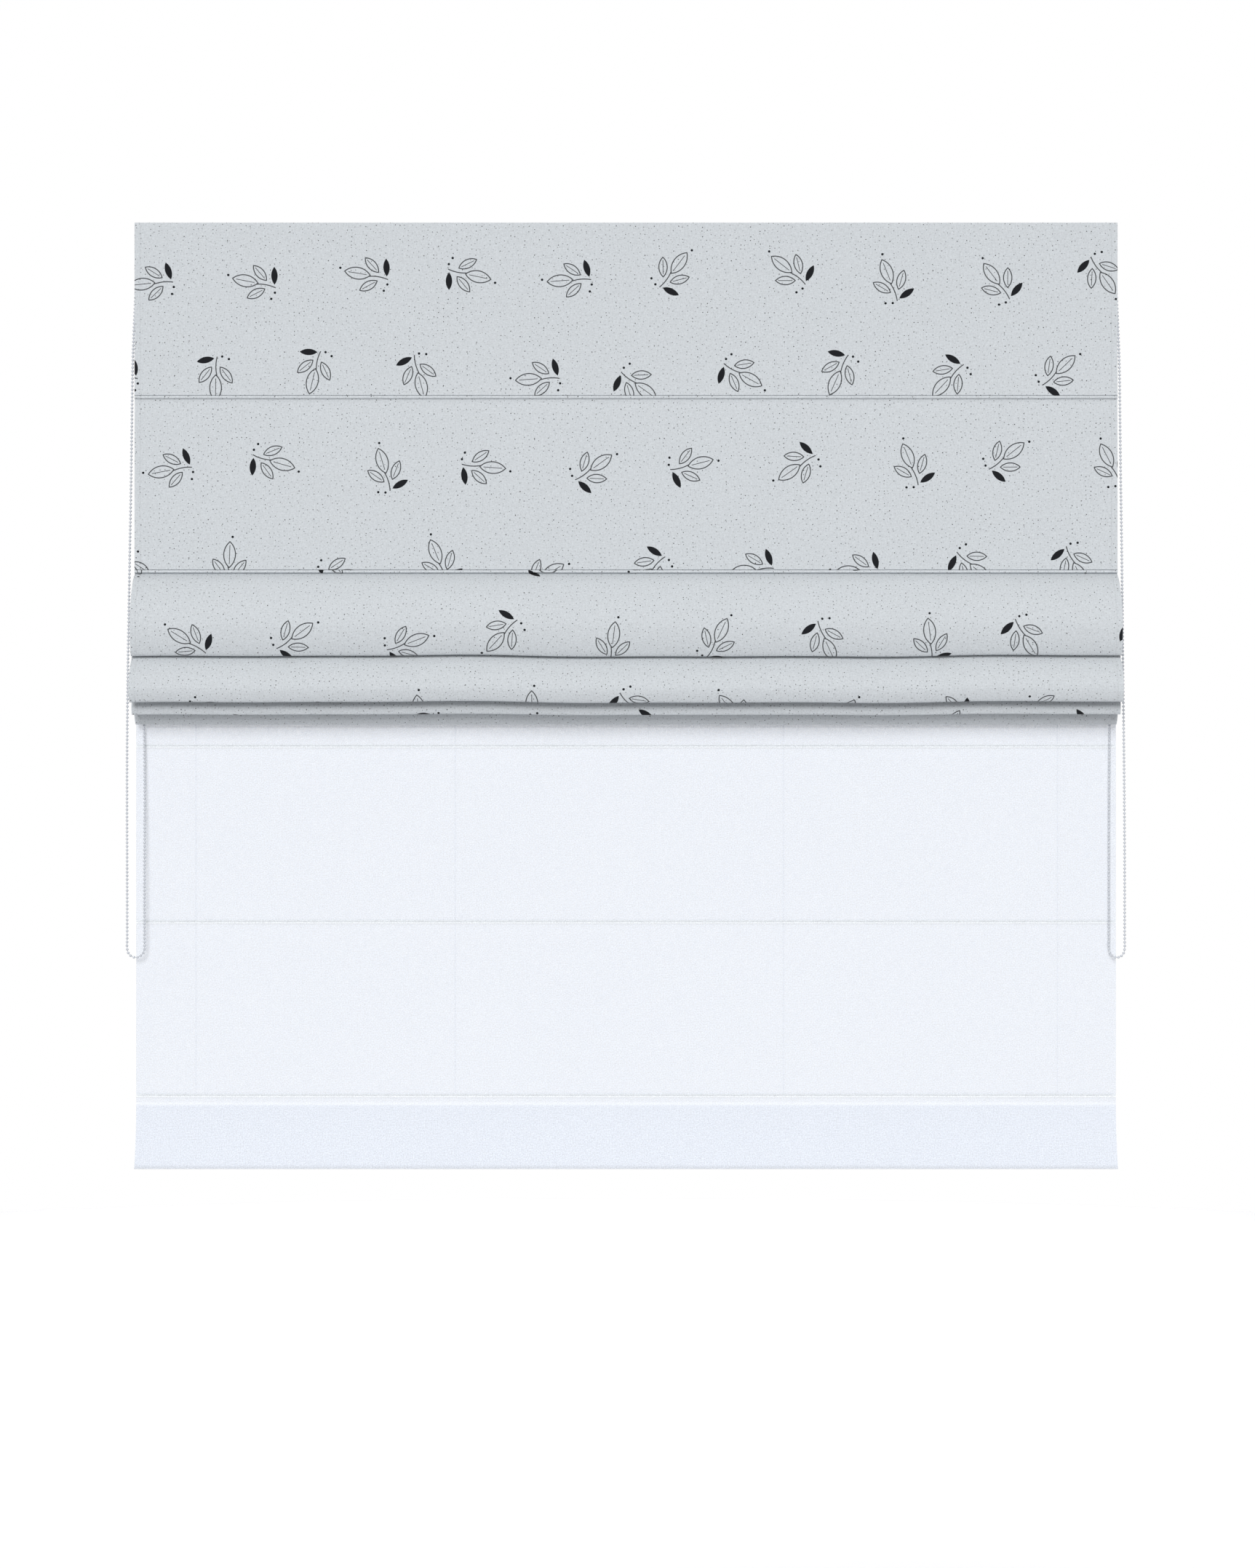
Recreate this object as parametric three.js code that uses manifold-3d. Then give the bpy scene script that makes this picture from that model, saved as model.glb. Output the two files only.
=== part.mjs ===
// Double roman blind: a printed front cloth raised into soft folds, a sheer hanging full
// length behind it, the twin headrail that carries both, and a bead chain at each end.
// Millimetres. +X is to the right as seen from the front, +Y is backwards, towards the
// surface that the brackets are fixed to, and +Z is up. The origin is the centre of the
// middle bracket's rear face.
// A cloth's section is drawn in two measures: reach is how far it comes forward of its own
// hanging plane, and drop is how far it lies below the cloth's top edge.

import * as THREE from 'three';
import * as BufferGeometryUtils from 'three/addons/utils/BufferGeometryUtils.js';
import Module from 'manifold-3d';

const wasm = await Module();
wasm.setup();

// Driving sizes
const CLOTH_WIDTH = 1600;
const SHEER_WIDTH = 1603;
const CLOTH_TOP = 20;
const SHEER_TOP_DROP = 6;
const CLOTH_THICKNESS = 1.6;
const SHEER_THICKNESS = 1.2;
const SEAT_GAP = 0.3;

const RAIL_DEPTH = 22;
const RAIL_HEIGHT = 34;
const RAIL_WALL = 1.6;
const RAIL_LENGTH = 1580;
const RAIL_SPACING = 2.8;

const PLATE_THICKNESS = 2.5;
const ARM_THICKNESS = 2;
const BRACKET_WIDTH = 40;
const BRACKET_PLACES = { left: -600, middle: 0, right: 600 };
const WALL_SCREW_HOLE_RADIUS = 2.6;
const WALL_SCREW_HOLE_HEIGHTS = [-11, 11];
const RAIL_SCREW = { headRadius: 4, headHeight: 2, shankRadius: 2, holeRadius: 2.4 };

const HOUSING_THICKNESS = 9.4;
const HOUSING_CORNER = 4;
const HOUSING_BRIDGE = 2.5;
const BOSS_RADIUS = 10.5;
const BOSS_STEP = 0.9;
const GUIDE_DROP = 6;
const GUIDE_WIDTH = 6;
const GUIDE_HALF_DEPTH = 10.5;

const ROD_RADIUS = 2;
const ROD_LENGTH = 1590;
const LIFT_CORD_RADIUS = 0.6;
const LIFT_CORD_PLACES = [-705, -280, 258, 707];

const CHAIN_DIAMETER = 4.5;
const CHAIN_STEPS_A_POINT = 2;

const ROUND_SIDES = 12;
const CORD_SIDES = 8;

// Planes, worked out from the back plate forwards; each is a Y value
const REAR_RAIL_BACK = -(PLATE_THICKNESS + SEAT_GAP);
const REAR_RAIL_FRONT = REAR_RAIL_BACK - RAIL_DEPTH;
const SHEER_PLANE = REAR_RAIL_FRONT - SEAT_GAP - SHEER_THICKNESS / 2;
const FRONT_RAIL_BACK = SHEER_PLANE - SHEER_THICKNESS / 2 - RAIL_SPACING;
const FRONT_RAIL_FRONT = FRONT_RAIL_BACK - RAIL_DEPTH;
const CLOTH_PLANE = FRONT_RAIL_FRONT - SEAT_GAP - CLOTH_THICKNESS / 2;
const RAIL_TOP = RAIL_HEIGHT / 2;
const RAIL_BOTTOM = -RAIL_HEIGHT / 2;
const WHEEL_Y = (FRONT_RAIL_BACK + FRONT_RAIL_FRONT) / 2;

// Rod pockets: neck is the sewn part between the cloth and the rod, and ridge says that
// the cloth bulges and creases again just below the seam
const CLOTH_POCKETS = [
  { drop: 281, neck: 6.5, ridge: true },
  { drop: 565, neck: 6.5, ridge: true },
  { drop: 640, neck: 6.5, ridge: false },
  { drop: 665, neck: 6.5, ridge: false },
  { drop: 689, neck: 6.5, ridge: false },
];
const SHEER_POCKETS = [
  { drop: 278, neck: 1.2, ridge: true },
  { drop: 564.5, neck: 1.2, ridge: true },
  { drop: 851, neck: 1.2, ridge: true },
  { drop: 1138.5, neck: 1.2, ridge: true },
  { drop: 1423, neck: 1.2, ridge: true },
];

// Raised folds, from the front down: each column is a [reach, drop] station of the middle
// of the cloth, from where it leaves one pocket to where it enters the next
const FOLDS = [
  {
    shoulder: [16, 584], belly: [33, 604], lip: [44, 627], face: [51, 662], toe: [51, 692],
    bottom: [44, 707.2], heel: [35, 697], rise: [22, 655], crown: [9, 629],
  },
  {
    shoulder: [12, 658], belly: [27, 695], lip: [44, 712.5], face: [61, 731], toe: [64, 760],
    bottom: [57, 781.8], heel: [47, 773], rise: [27, 730], crown: [7, 658],
  },
  {
    shoulder: [9.5, 684], belly: [20, 724], lip: [30, 762], face: [39, 782], toe: [40.5, 793],
    bottom: [36, 801.2], heel: [28, 794], rise: [15, 756], crown: [4.2, 684],
  },
];
const FOLD_COLUMNS = ['shoulder', 'belly', 'lip', 'face', 'toe', 'bottom', 'heel', 'rise', 'crown'];

// Last panel of the front cloth, below the lowest pocket, and the height of its hem
const TAIL = [[-2, 715], [-3, 750], [1, 778], [3, 790], [1.5, 801], [-4, 810], [-10.4, 816.2]];
const TAIL_HEM_ROWS = 4;

// Hem of the sheer: it kicks forward towards its bottom edge
const SHEER_HEM = { top: 1435, bottom: 1540.8, kick: 22, rows: 7 };

// Unevenness of the folds along the width: waves of the fold bottoms, in whole turns
// across the cloth; sag moves a fold down and swell moves it forward
const FOLD_WAVES = [
  { turns: 1.5, phase: 0.6, sag: 0.7, swell: 0.9 },
  { turns: 3.5, phase: 2.1, sag: 0.5, swell: 0.7 },
  { turns: 6, phase: 4.0, sag: 0.25, swell: 0.4 },
];
const FOLD_FREE_FROM = 8;
const FOLD_FREE_FULL = 40;
const CLOTH_COLUMNS = 9;
const SHEER_COLUMNS = 5;

// Routes of the bead chains, one closed loop a side, from the exit under the end housing
// down the outer strand, round the bottom and up the inner strand; [x, y, z]
const CHAIN_LEFT_ROUTE = [
  [-797, -47.7, -23.3], [-798, -47.9, -70], [-800.2, -48.1, -120], [-802.4, -48.3, -170],
  [-804, -48.5, -225], [-805, -48.5, -300], [-806.4, -48.3, -400], [-808.2, -48, -500],
  [-810, -47.4, -600], [-811.8, -46.4, -700], [-813, -45, -790], [-813.7, -43.4, -870],
  [-814, -41.8, -950], [-814, -40.7, -1030], [-814, -40.2, -1100], [-814, -40.2, -1145],
  [-814, -40.2, -1163], [-811.9, -40.2, -1170.4], [-807, -40.2, -1175.3],
  [-800, -40.2, -1177.2], [-793, -40.2, -1175.3], [-788.1, -40.2, -1170.4],
  [-786, -40.2, -1163], [-786, -40.2, -1145], [-786, -40.1, -1100], [-786, -39.4, -1030],
  [-786, -37.2, -950], [-786.4, -34.4, -880], [-787.5, -32.9, -800], [-789, -32.7, -700],
  [-790.5, -32.7, -600], [-792, -32.7, -500], [-793.3, -32.7, -400], [-794.6, -32.7, -300],
  [-795.7, -32.7, -200], [-796.5, -32.7, -110], [-797, -32.7, -23.3],
];
const CHAIN_RIGHT_ROUTE = [
  [797, -47.7, -23.3], [798, -47.8, -70], [800.2, -48, -120], [802.4, -48, -170],
  [804, -48, -225], [804.8, -48, -300], [806, -48, -400], [807.4, -48, -500],
  [808.6, -48, -600], [809.6, -48, -700], [810.6, -47.9, -790], [811.4, -47.8, -870],
  [812, -47.7, -950], [812.3, -47.7, -1030], [812.3, -47.7, -1100], [812.3, -47.7, -1145],
  [812.3, -47.7, -1163], [810.6, -46.6, -1170.4], [806.5, -44, -1175.3],
  [800.7, -40.2, -1177.2], [794.8, -36.4, -1175.3], [790.7, -33.8, -1170.4],
  [789, -32.7, -1163], [789, -32.7, -1145], [789, -32.7, -1100], [789, -32.7, -1030],
  [789.1, -32.7, -950], [789.4, -32.7, -880], [790, -32.7, -800], [790.9, -32.7, -700],
  [791.9, -32.7, -600], [792.9, -32.7, -500], [793.9, -32.7, -400], [794.8, -32.7, -300],
  [795.7, -32.7, -200], [796.5, -32.7, -110], [797, -32.7, -23.3],
];

// Materials
const finish = (color, roughness, metalness = 0) =>
  new THREE.MeshStandardMaterial({ color, roughness, metalness });
const MATERIALS = {
  cloth: finish(0xdde2e6, 0.9),
  sheer: finish(0xe6eaf4, 0.8),
  rod: finish(0xf1f3f4, 0.5),
  cord: finish(0xf4f5f7, 0.8),
  chain: finish(0xeceef2, 0.35),
  rail: finish(0xc9ccd0, 0.4, 1),
  housing: finish(0xf0f1f2, 0.45),
  bracket: finish(0xe4e6e8, 0.5, 0.4),
  screw: finish(0xb9bdc2, 0.35, 1),
};

// Smooth 0 to 1 step between two values
function easeBetween(low, high, value) {
  const t = THREE.MathUtils.clamp((value - low) / (high - low), 0, 1);
  return t * t * (3 - 2 * t);
}

// Turns a geometry inside out if its signed volume is negative
function facingOut(geometry) {
  const position = geometry.getAttribute('position');
  const index = geometry.getIndex();
  const corners = [new THREE.Vector3(), new THREE.Vector3(), new THREE.Vector3()];
  let volume = 0;
  for (let i = 0; i < index.count; i += 3) {
    corners.forEach((corner, k) => corner.fromBufferAttribute(position, index.getX(i + k)));
    volume += corners[0].dot(corners[1].cross(corners[2]));
  }
  if (volume < 0) {
    for (let i = 0; i < index.count; i += 3) {
      const first = index.getX(i);
      index.setX(i, index.getX(i + 1));
      index.setX(i + 1, first);
    }
  }
  geometry.computeVertexNormals();
  return geometry;
}

// Section points of a rod pocket: down to the seam, back through the neck, round the rod
// and out again; hangs says that the cloth comes down to it from straight above
function pocketPoints(pocket, thickness, hangs) {
  const layerGap = thickness + SEAT_GAP;
  const wrap = ROD_RADIUS + SEAT_GAP + thickness / 2;
  const { drop, neck } = pocket;
  const axis = pocketAxis(pocket, thickness);
  const points = hangs
    ? [[0, drop - 1.8], [-0.5, drop - 0.4], [-neck * 0.3, drop]]
    : [[0.8, drop - 0.3], [-neck * 0.3, drop]];
  if (neck > 3) {
    points.push([-neck, drop]);
  }
  for (let degrees = 70; degrees <= 290; degrees += 44) {
    const angle = THREE.MathUtils.degToRad(degrees);
    points.push([axis.reach + wrap * Math.cos(angle), axis.drop - wrap * Math.sin(angle)]);
  }
  if (neck > 3) {
    points.push([-neck, drop + layerGap]);
  }
  points.push([-neck * 0.3, drop + layerGap]);
  if (pocket.ridge) {
    points.push([0.4, drop + layerGap + 0.5], [0.9, drop + layerGap + 1.8]);
    points.push([0.5, drop + layerGap + 3.6], [-0.6, drop + layerGap + 4.4]);
    points.push([0, drop + layerGap + 7]);
  } else {
    points.push([0.8, drop + layerGap + 0.3]);
  }
  return points;
}

// Middle of the rod that a pocket holds
function pocketAxis(pocket, thickness) {
  return { reach: -(pocket.neck + ROD_RADIUS + 1.3), drop: pocket.drop + (thickness + SEAT_GAP) / 2 };
}

// Points of a smooth curve through stations, with one extra point in each span
function smoothed(stations) {
  const curve = new THREE.SplineCurve(stations.map(([reach, drop]) => new THREE.Vector2(reach, drop)));
  return curve.getPoints(2 * (stations.length - 1)).map((point) => [point.x, point.y]);
}

// Adds a hem: the last rows of the section are followed back up, one layer behind
function withHem(points, rows, thickness) {
  const last = points.length - 1;
  const behind = [];
  for (let i = last; i >= last - rows; i -= 1) {
    const before = points[i - 1];
    const after = points[Math.min(i + 1, last)];
    const along = new THREE.Vector2(after[0] - before[0], after[1] - before[1]).normalize();
    const shift = thickness + SEAT_GAP;
    behind.push([points[i][0] - along.y * shift, points[i][1] + along.x * shift]);
  }
  return [...points, ...behind];
}

// Section of the front cloth: two hanging panels, three raised folds and the last panel
function clothSection() {
  const [first, second, ...stacked] = CLOTH_POCKETS;
  const points = [[0, 0], [0, first.drop / 2]];
  points.push(...pocketPoints(first, CLOTH_THICKNESS, true));
  points.push([0, (first.drop + second.drop) / 2]);
  points.push(...pocketPoints(second, CLOTH_THICKNESS, true));
  FOLDS.forEach((fold, i) => {
    const entry = pocketPoints(stacked[i], CLOTH_THICKNESS, false);
    const stations = [points.at(-1), ...FOLD_COLUMNS.map((name) => fold[name]), entry[0]];
    points.push(...smoothed(stations).slice(1), ...entry.slice(1));
  });
  points.push(...TAIL);
  return withHem(points, TAIL_HEM_ROWS, CLOTH_THICKNESS);
}

// Section of the sheer: straight down between its pockets, then the hem kicking forward
function sheerSection() {
  const points = [[0, SHEER_TOP_DROP]];
  SHEER_POCKETS.forEach((pocket) => points.push(...pocketPoints(pocket, SHEER_THICKNESS, true)));
  for (let i = 0; i <= SHEER_HEM.rows; i += 1) {
    const share = i / SHEER_HEM.rows;
    const drop = THREE.MathUtils.lerp(SHEER_HEM.top, SHEER_HEM.bottom, share);
    points.push([SHEER_HEM.kick * share * share, drop]);
  }
  return withHem(points, SHEER_HEM.rows, SHEER_THICKNESS);
}

// Sag and swell of the folds at a place along the width, where they reach forward freely
function foldWave(x, reach) {
  const free = easeBetween(FOLD_FREE_FROM, FOLD_FREE_FULL, reach);
  const wave = { sag: 0, swell: 0 };
  FOLD_WAVES.forEach(({ turns, phase, sag, swell }) => {
    const angle = 2 * Math.PI * turns * (x / CLOTH_WIDTH) + phase;
    wave.sag += free * sag * Math.sin(angle);
    wave.swell += free * swell * Math.cos(angle);
  });
  return wave;
}

// A hung cloth: its section, given a thickness, is carried along the width in columns
function hungCloth(section, width, thickness, plane, columns, waveAt) {
  const count = section.length;
  const vertices = [];
  for (let column = 0; column < columns; column += 1) {
    const x = width * (column / (columns - 1) - 0.5);
    const middle = section.map(([reach, drop]) => {
      const wave = waveAt(x, reach);
      return new THREE.Vector2(reach + wave.swell, drop + wave.sag);
    });
    const sides = [1, -1].map((side) => middle.map((point, i) => {
      const before = middle[Math.max(i - 1, 0)];
      const after = middle[Math.min(i + 1, count - 1)];
      const inward = point.clone().sub(before).normalize();
      const outward = after.clone().sub(point).normalize();
      const along = inward.add(outward).normalize();
      const straight = after.clone().sub(i < count - 1 ? point : before).normalize();
      const miter = Math.min(1 / Math.max(along.dot(straight), 0.5), 1.45);
      const shift = side * miter * thickness / 2;
      return new THREE.Vector2(point.x + along.y * shift, point.y - along.x * shift);
    }));
    [...sides[0], ...sides[1].reverse()].forEach((point) => {
      vertices.push(x, plane - point.x, CLOTH_TOP - point.y);
    });
  }
  const ring = 2 * count;
  const faces = [];
  for (let column = 0; column < columns - 1; column += 1) {
    for (let i = 0; i < ring; i += 1) {
      const a = column * ring + i;
      const b = column * ring + ((i + 1) % ring);
      faces.push(a, b, b + ring, a, b + ring, a + ring);
    }
  }
  const end = (columns - 1) * ring;
  for (let i = 0; i < count - 1; i += 1) {
    const opposite = ring - 1 - i;
    faces.push(i, opposite, opposite - 1, i, opposite - 1, i + 1);
    faces.push(end + i, end + opposite - 1, end + opposite, end + i, end + i + 1, end + opposite - 1);
  }
  const geometry = new THREE.BufferGeometry();
  geometry.setAttribute('position', new THREE.Float32BufferAttribute(vertices, 3));
  geometry.setIndex(faces);
  return facingOut(geometry);
}

// Closed cylinder between two points on one axis, named by that axis
function roundBar(radius, length, axis, sides) {
  const geometry = new THREE.CylinderGeometry(radius, radius, length, sides);
  if (axis === 'x') {
    geometry.rotateZ(Math.PI / 2);
  } else if (axis === 'y') {
    return geometry;
  } else {
    geometry.rotateX(Math.PI / 2);
  }
  return geometry;
}

// A solid for cutting and joining, made from any closed geometry
function solidOf(geometry) {
  const bare = geometry.clone();
  bare.deleteAttribute('normal');
  bare.deleteAttribute('uv');
  const merged = BufferGeometryUtils.mergeVertices(bare, 1e-4);
  return new wasm.Manifold(new wasm.Mesh({
    numProp: 3,
    vertProperties: new Float32Array(merged.getAttribute('position').array),
    triVerts: new Uint32Array(merged.getIndex().array),
  }));
}

// Geometry of a cut or joined solid
function geometryOf(solid) {
  const mesh = solid.getMesh();
  const geometry = new THREE.BufferGeometry();
  geometry.setAttribute('position', new THREE.Float32BufferAttribute(mesh.vertProperties, 3));
  geometry.setIndex(Array.from(mesh.triVerts));
  geometry.computeVertexNormals();
  return geometry;
}

// A section drawn in the Y-Z plane and carried along X, centred on x = 0
function alongX(shape, length, curveSegments = 4) {
  const geometry = new THREE.ExtrudeGeometry(shape, { depth: length, bevelEnabled: false, curveSegments });
  geometry.translate(0, 0, -length / 2);
  const turned = new THREE.Matrix4().set(0, 0, 1, 0, 1, 0, 0, 0, 0, 1, 0, 0, 0, 0, 0, 1);
  return geometry.applyMatrix4(turned);
}

// Rectangle in the Y-Z plane, with round corners where a radius is given
function sectionBox(back, front, bottom, top, corner = 0) {
  const shape = new THREE.Shape();
  if (corner === 0) {
    shape.moveTo(front, bottom).lineTo(back, bottom).lineTo(back, top).lineTo(front, top);
    return shape;
  }
  const quarter = Math.PI / 2;
  shape.absarc(back - corner, bottom + corner, corner, -quarter, 0, false);
  shape.absarc(back - corner, top - corner, corner, 0, quarter, false);
  shape.absarc(front + corner, top - corner, corner, quarter, 2 * quarter, false);
  shape.absarc(front + corner, bottom + corner, corner, 2 * quarter, 3 * quarter, false);
  return shape;
}

// Headrail: a plain rectangular tube, open at both ends
function railGeometry(back) {
  const front = back - RAIL_DEPTH;
  const shape = sectionBox(back, front, RAIL_BOTTOM, RAIL_TOP, 2);
  shape.holes.push(sectionBox(
    back - RAIL_WALL, front + RAIL_WALL, RAIL_BOTTOM + RAIL_WALL, RAIL_TOP - RAIL_WALL,
  ));
  return alongX(shape, RAIL_LENGTH, 3);
}

// End housing: closes both rails, bridged over the sheer, which hangs through the slot
// between them, with a round wheel cover and a guide for the chain
function housingGeometry(side) {
  const inner = RAIL_LENGTH / 2 + SEAT_GAP;
  const body = alongX(
    sectionBox(REAR_RAIL_BACK, FRONT_RAIL_FRONT, RAIL_BOTTOM, RAIL_TOP, HOUSING_CORNER),
    HOUSING_THICKNESS,
  );
  body.translate(side * (inner + HOUSING_THICKNESS / 2), 0, 0);
  const boss = roundBar(BOSS_RADIUS, HOUSING_THICKNESS, 'x', 24);
  boss.translate(side * (inner + HOUSING_THICKNESS / 2 + BOSS_STEP), WHEEL_Y, 0);
  const slotDepth = REAR_RAIL_FRONT - FRONT_RAIL_BACK;
  const slot = new THREE.BoxGeometry(4 * HOUSING_THICKNESS, slotDepth, RAIL_HEIGHT);
  slot.translate(side * inner, FRONT_RAIL_BACK + slotDepth / 2, -HOUSING_BRIDGE);
  const guide = new THREE.BoxGeometry(GUIDE_WIDTH, 2 * GUIDE_HALF_DEPTH, GUIDE_DROP + 2);
  guide.translate(
    side * (inner + HOUSING_THICKNESS - GUIDE_WIDTH / 2), WHEEL_Y, RAIL_BOTTOM - GUIDE_DROP / 2 + 1,
  );
  return geometryOf(solidOf(body).subtract(solidOf(slot)).add(solidOf(boss)).add(solidOf(guide)));
}

// Fixing bracket: a back plate with two screw holes and an arm over both rails
function bracketGeometry() {
  const armBottom = RAIL_TOP + SEAT_GAP;
  const armTop = armBottom + ARM_THICKNESS;
  const shape = new THREE.Shape();
  shape.moveTo(0, RAIL_BOTTOM).lineTo(0, armTop).lineTo(FRONT_RAIL_FRONT + 1, armTop);
  shape.lineTo(FRONT_RAIL_FRONT + 1, armBottom).lineTo(-PLATE_THICKNESS, armBottom);
  shape.lineTo(-PLATE_THICKNESS, RAIL_BOTTOM);
  let solid = solidOf(alongX(shape, BRACKET_WIDTH));
  WALL_SCREW_HOLE_HEIGHTS.forEach((height) => {
    const hole = roundBar(WALL_SCREW_HOLE_RADIUS, 4 * PLATE_THICKNESS, 'y', ROUND_SIDES);
    solid = solid.subtract(solidOf(hole.translate(0, -PLATE_THICKNESS / 2, height)));
  });
  railMiddles().forEach((middle) => {
    const hole = roundBar(RAIL_SCREW.holeRadius, 4 * ARM_THICKNESS, 'z', ROUND_SIDES);
    solid = solid.subtract(solidOf(hole.translate(0, middle, armBottom)));
  });
  return geometryOf(solid);
}

// Y of the middle of each rail, rear first
function railMiddles() {
  return [(REAR_RAIL_BACK + REAR_RAIL_FRONT) / 2, (FRONT_RAIL_BACK + FRONT_RAIL_FRONT) / 2];
}

// Screw that holds a rail to a bracket's arm: a low head on a short shank
function railScrewGeometry() {
  const { headRadius, headHeight, shankRadius } = RAIL_SCREW;
  const profile = [
    [0, -ARM_THICKNESS], [shankRadius, -ARM_THICKNESS], [shankRadius, 0], [headRadius, 0],
    [headRadius, headHeight * 0.6], [headRadius * 0.6, headHeight], [0, headHeight],
  ];
  const geometry = new THREE.LatheGeometry(profile.map(([r, z]) => new THREE.Vector2(r, z)), ROUND_SIDES);
  return geometry.rotateX(Math.PI / 2);
}

// A curve that is stepped evenly from point to point of its route, not evenly in length
class RouteCurve extends THREE.CatmullRomCurve3 {
  getPointAt(u, target) {
    return this.getPoint(u, target);
  }

  getTangentAt(u, target) {
    return this.getTangent(u, target);
  }
}

// Bead chain as a plain tube along its route
function chainGeometry(route) {
  const curve = new RouteCurve(route.map((point) => new THREE.Vector3(...point)));
  const corners = [];
  for (let i = 0; i < CORD_SIDES; i += 1) {
    const angle = (2 * Math.PI * i) / CORD_SIDES;
    corners.push(new THREE.Vector2(Math.cos(angle), Math.sin(angle)).multiplyScalar(CHAIN_DIAMETER / 2));
  }
  return new THREE.ExtrudeGeometry(new THREE.Shape(corners), {
    steps: CHAIN_STEPS_A_POINT * (route.length - 1),
    extrudePath: curve,
  });
}

// The blind, one named mesh for each piece
const blind = new THREE.Group();

function addPiece(name, geometry, material, x = 0, y = 0, z = 0) {
  const mesh = new THREE.Mesh(geometry, material);
  mesh.name = name;
  mesh.position.set(x, y, z);
  blind.add(mesh);
}

// Rods in the pockets of a cloth, and the lift cords that run down behind them
function addRodsAndCords(prefix, pockets, thickness, plane) {
  pockets.forEach((pocket, i) => {
    const axis = pocketAxis(pocket, thickness);
    const rod = roundBar(ROD_RADIUS, ROD_LENGTH, 'x', ROUND_SIDES);
    addPiece(`${prefix}_rod_${i + 1}`, rod, MATERIALS.rod, 0, plane - axis.reach, CLOTH_TOP - axis.drop);
  });
  const last = pocketAxis(pockets.at(-1), thickness);
  const pocketBack = plane - last.reach + ROD_RADIUS + SEAT_GAP + thickness;
  const top = RAIL_BOTTOM - SEAT_GAP;
  const bottom = CLOTH_TOP - last.drop - ROD_RADIUS;
  LIFT_CORD_PLACES.forEach((x, i) => {
    const cord = roundBar(LIFT_CORD_RADIUS, top - bottom, 'z', CORD_SIDES);
    const y = pocketBack + SEAT_GAP + LIFT_CORD_RADIUS;
    addPiece(`${prefix}_lift_cord_${i + 1}`, cord, MATERIALS.cord, x, y, (top + bottom) / 2);
  });
}

addPiece('front_cloth', hungCloth(
  clothSection(), CLOTH_WIDTH, CLOTH_THICKNESS, CLOTH_PLANE, CLOTH_COLUMNS, foldWave,
), MATERIALS.cloth);
addRodsAndCords('front', CLOTH_POCKETS, CLOTH_THICKNESS, CLOTH_PLANE);

addPiece('sheer_cloth', hungCloth(
  sheerSection(), SHEER_WIDTH, SHEER_THICKNESS, SHEER_PLANE, SHEER_COLUMNS, () => ({ sag: 0, swell: 0 }),
), MATERIALS.sheer);
addRodsAndCords('sheer', SHEER_POCKETS, SHEER_THICKNESS, SHEER_PLANE);

addPiece('front_rail', railGeometry(FRONT_RAIL_BACK), MATERIALS.rail);
addPiece('rear_rail', railGeometry(REAR_RAIL_BACK), MATERIALS.rail);
addPiece('end_housing_left', housingGeometry(-1), MATERIALS.housing);
addPiece('end_housing_right', housingGeometry(1), MATERIALS.housing);

Object.entries(BRACKET_PLACES).forEach(([place, x]) => {
  addPiece(`bracket_${place}`, bracketGeometry(), MATERIALS.bracket, x);
  railMiddles().forEach((y, i) => {
    const seat = RAIL_TOP + 2 * SEAT_GAP + ARM_THICKNESS;
    addPiece(`rail_screw_${place}_${['rear', 'front'][i]}`, railScrewGeometry(), MATERIALS.screw, x, y, seat);
  });
});

addPiece('chain_left', chainGeometry(CHAIN_LEFT_ROUTE), MATERIALS.chain);
addPiece('chain_right', chainGeometry(CHAIN_RIGHT_ROUTE), MATERIALS.chain);

export default blind;
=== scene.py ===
"""Looks of a double roman blind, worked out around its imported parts.

The frame gives the rails, housings, brackets, screws, rods and lift cords, which keep their
shape and get their finishes here. The two cloths and the two bead chains are made here in full
fineness, from the same sections and routes as the solids that they stand for. Sections are
drawn in millimetres, in reach (forward of the cloth's hanging plane) and drop (below the
cloth's top edge); meshes are in metres, +X right, +Y towards the fixing surface, +Z up.
"""

import math

import bpy
import numpy as np
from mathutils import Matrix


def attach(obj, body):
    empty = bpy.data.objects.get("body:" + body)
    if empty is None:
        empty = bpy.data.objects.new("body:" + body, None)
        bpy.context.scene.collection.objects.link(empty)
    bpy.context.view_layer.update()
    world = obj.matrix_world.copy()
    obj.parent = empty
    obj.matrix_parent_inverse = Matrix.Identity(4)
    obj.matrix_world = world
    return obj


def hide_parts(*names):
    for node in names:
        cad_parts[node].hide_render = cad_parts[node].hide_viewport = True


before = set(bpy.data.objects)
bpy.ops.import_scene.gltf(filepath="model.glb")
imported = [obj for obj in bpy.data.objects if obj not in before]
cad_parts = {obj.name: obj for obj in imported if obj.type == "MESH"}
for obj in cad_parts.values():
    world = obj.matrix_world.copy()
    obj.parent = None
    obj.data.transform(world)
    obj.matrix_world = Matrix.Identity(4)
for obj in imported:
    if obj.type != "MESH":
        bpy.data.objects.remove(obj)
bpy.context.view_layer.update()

bl_info = {
    "name": "Double roman blind",
    "version": (1, 0, 0),
    "blender": (4, 5, 0),
    "location": "3D View > Sidebar > Blind",
    "description": "Makes the cloths, chains and finishes of a double roman blind",
    "category": "Object",
}

BODY = "root"
MM = 0.001

# Shortest length that counts as one
TINY = 1e-9

# Hanging planes of the two cloths, the height of the front cloth's top edge and how much lower
# the sheer's lies, in millimetres
CLOTH_PLANE = -52.2
SHEER_PLANE = -25.7
CLOTH_TOP = 20.0
SHEER_TOP_DROP = 6.0

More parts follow.
